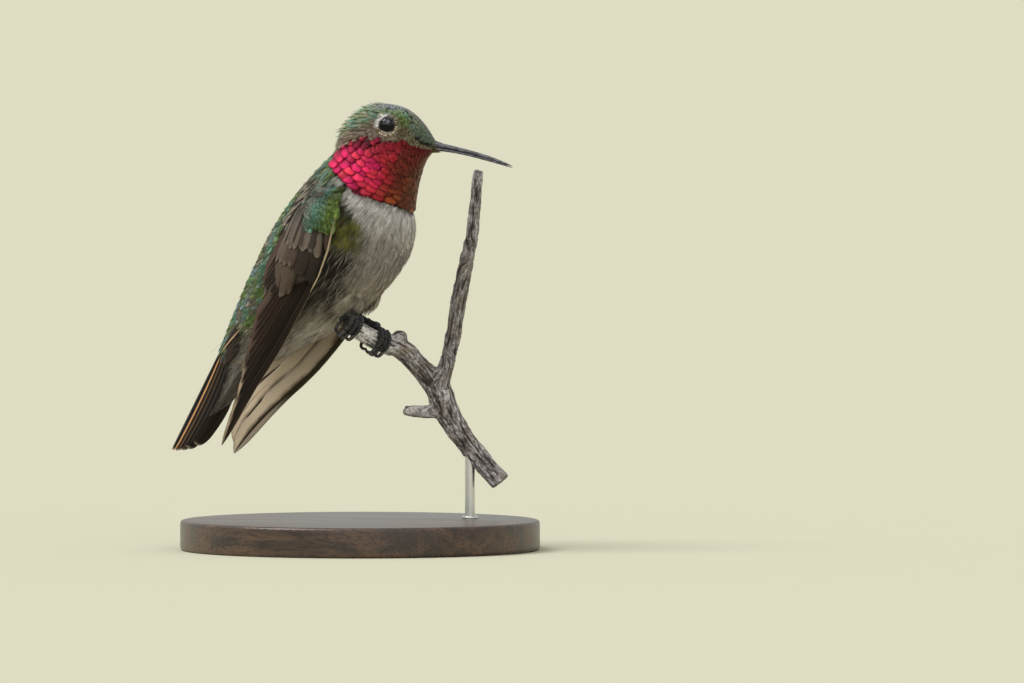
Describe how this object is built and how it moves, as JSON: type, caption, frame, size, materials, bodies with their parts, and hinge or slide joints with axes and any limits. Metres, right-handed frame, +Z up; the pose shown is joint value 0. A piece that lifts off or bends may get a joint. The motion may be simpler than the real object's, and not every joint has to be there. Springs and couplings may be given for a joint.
{
  "type": "hummingbird display model",
  "caption": "Small long-billed bird with a ruby throat, wings folded, gripping the end of a forked twig that a short rod holds over a round base.",
  "frame": {"origin": "centre of the flat underside of the round stand base, at floor level", "axes": "+X is the way the bird's body faces, +Y is the bird's left side, +Z is up"},
  "size_m": [0.0775, 0.072, 0.0893],
  "materials": {
    "crown_feathers": "soft iridescent green feathers, with a pale ring round the eye and a brown face",
    "gorget_feathers": "scale-like iridescent ruby feathers with dark edges",
    "back_feathers": "soft green and bronze feathers with blue glints",
    "breast_feathers": "soft hair-like white and grey feathers",
    "wing_quills": "stiff dull brown flight feathers with raised shafts",
    "tail_quills": "stiff blackish tail feathers with rust-red edges",
    "bill_horn": "smooth satin black horn",
    "eye_surface": "wet dark brown, very glossy",
    "leg_skin": "fine scaled black skin",
    "claw_horn": "smooth black horn",
    "bark": "rough weathered grey bark",
    "stand_wood": "satin dark wood",
    "stand_metal": "satin steel"
  },
  "bodies": {
    "root": {"head": "crown_feathers", "gorget": "gorget_feathers", "neck": "back_feathers", "trunk": "breast_feathers", "tail_coverts": "back_feathers", "undertail_coverts": "breast_feathers", "bill_upper": "bill_horn", "bill_lower": "bill_horn", "eye_right": "eye_surface", "eye_left": "eye_surface", "wing_right_arm": "back_feathers", "wing_right_primaries": "wing_quills", "wing_right_secondaries": "wing_quills", "wing_left_arm": "back_feathers", "wing_left_primaries": "wing_quills", "wing_left_secondaries": "wing_quills", "tail": "tail_quills", "thigh_right": "breast_feathers", "tarsus_right": "leg_skin", "toe_right_inner": "leg_skin", "claw_right_inner": "claw_horn", "toe_right_middle": "leg_skin", "claw_right_middle": "claw_horn", "toe_right_outer": "leg_skin", "claw_right_outer": "claw_horn", "toe_right_hind": "leg_skin", "claw_right_hind": "claw_horn", "thigh_left": "breast_feathers", "tarsus_left": "leg_skin", "toe_left_inner": "leg_skin", "claw_left_inner": "claw_horn", "toe_left_middle": "leg_skin", "claw_left_middle": "claw_horn", "toe_left_outer": "leg_skin", "claw_left_outer": "claw_horn", "toe_left_hind": "leg_skin", "claw_left_hind": "claw_horn", "perch_branch": "bark", "perch_twig": "bark", "stand_base": "stand_wood", "stand_rod": "stand_metal"}
  },
  "joints": []
}
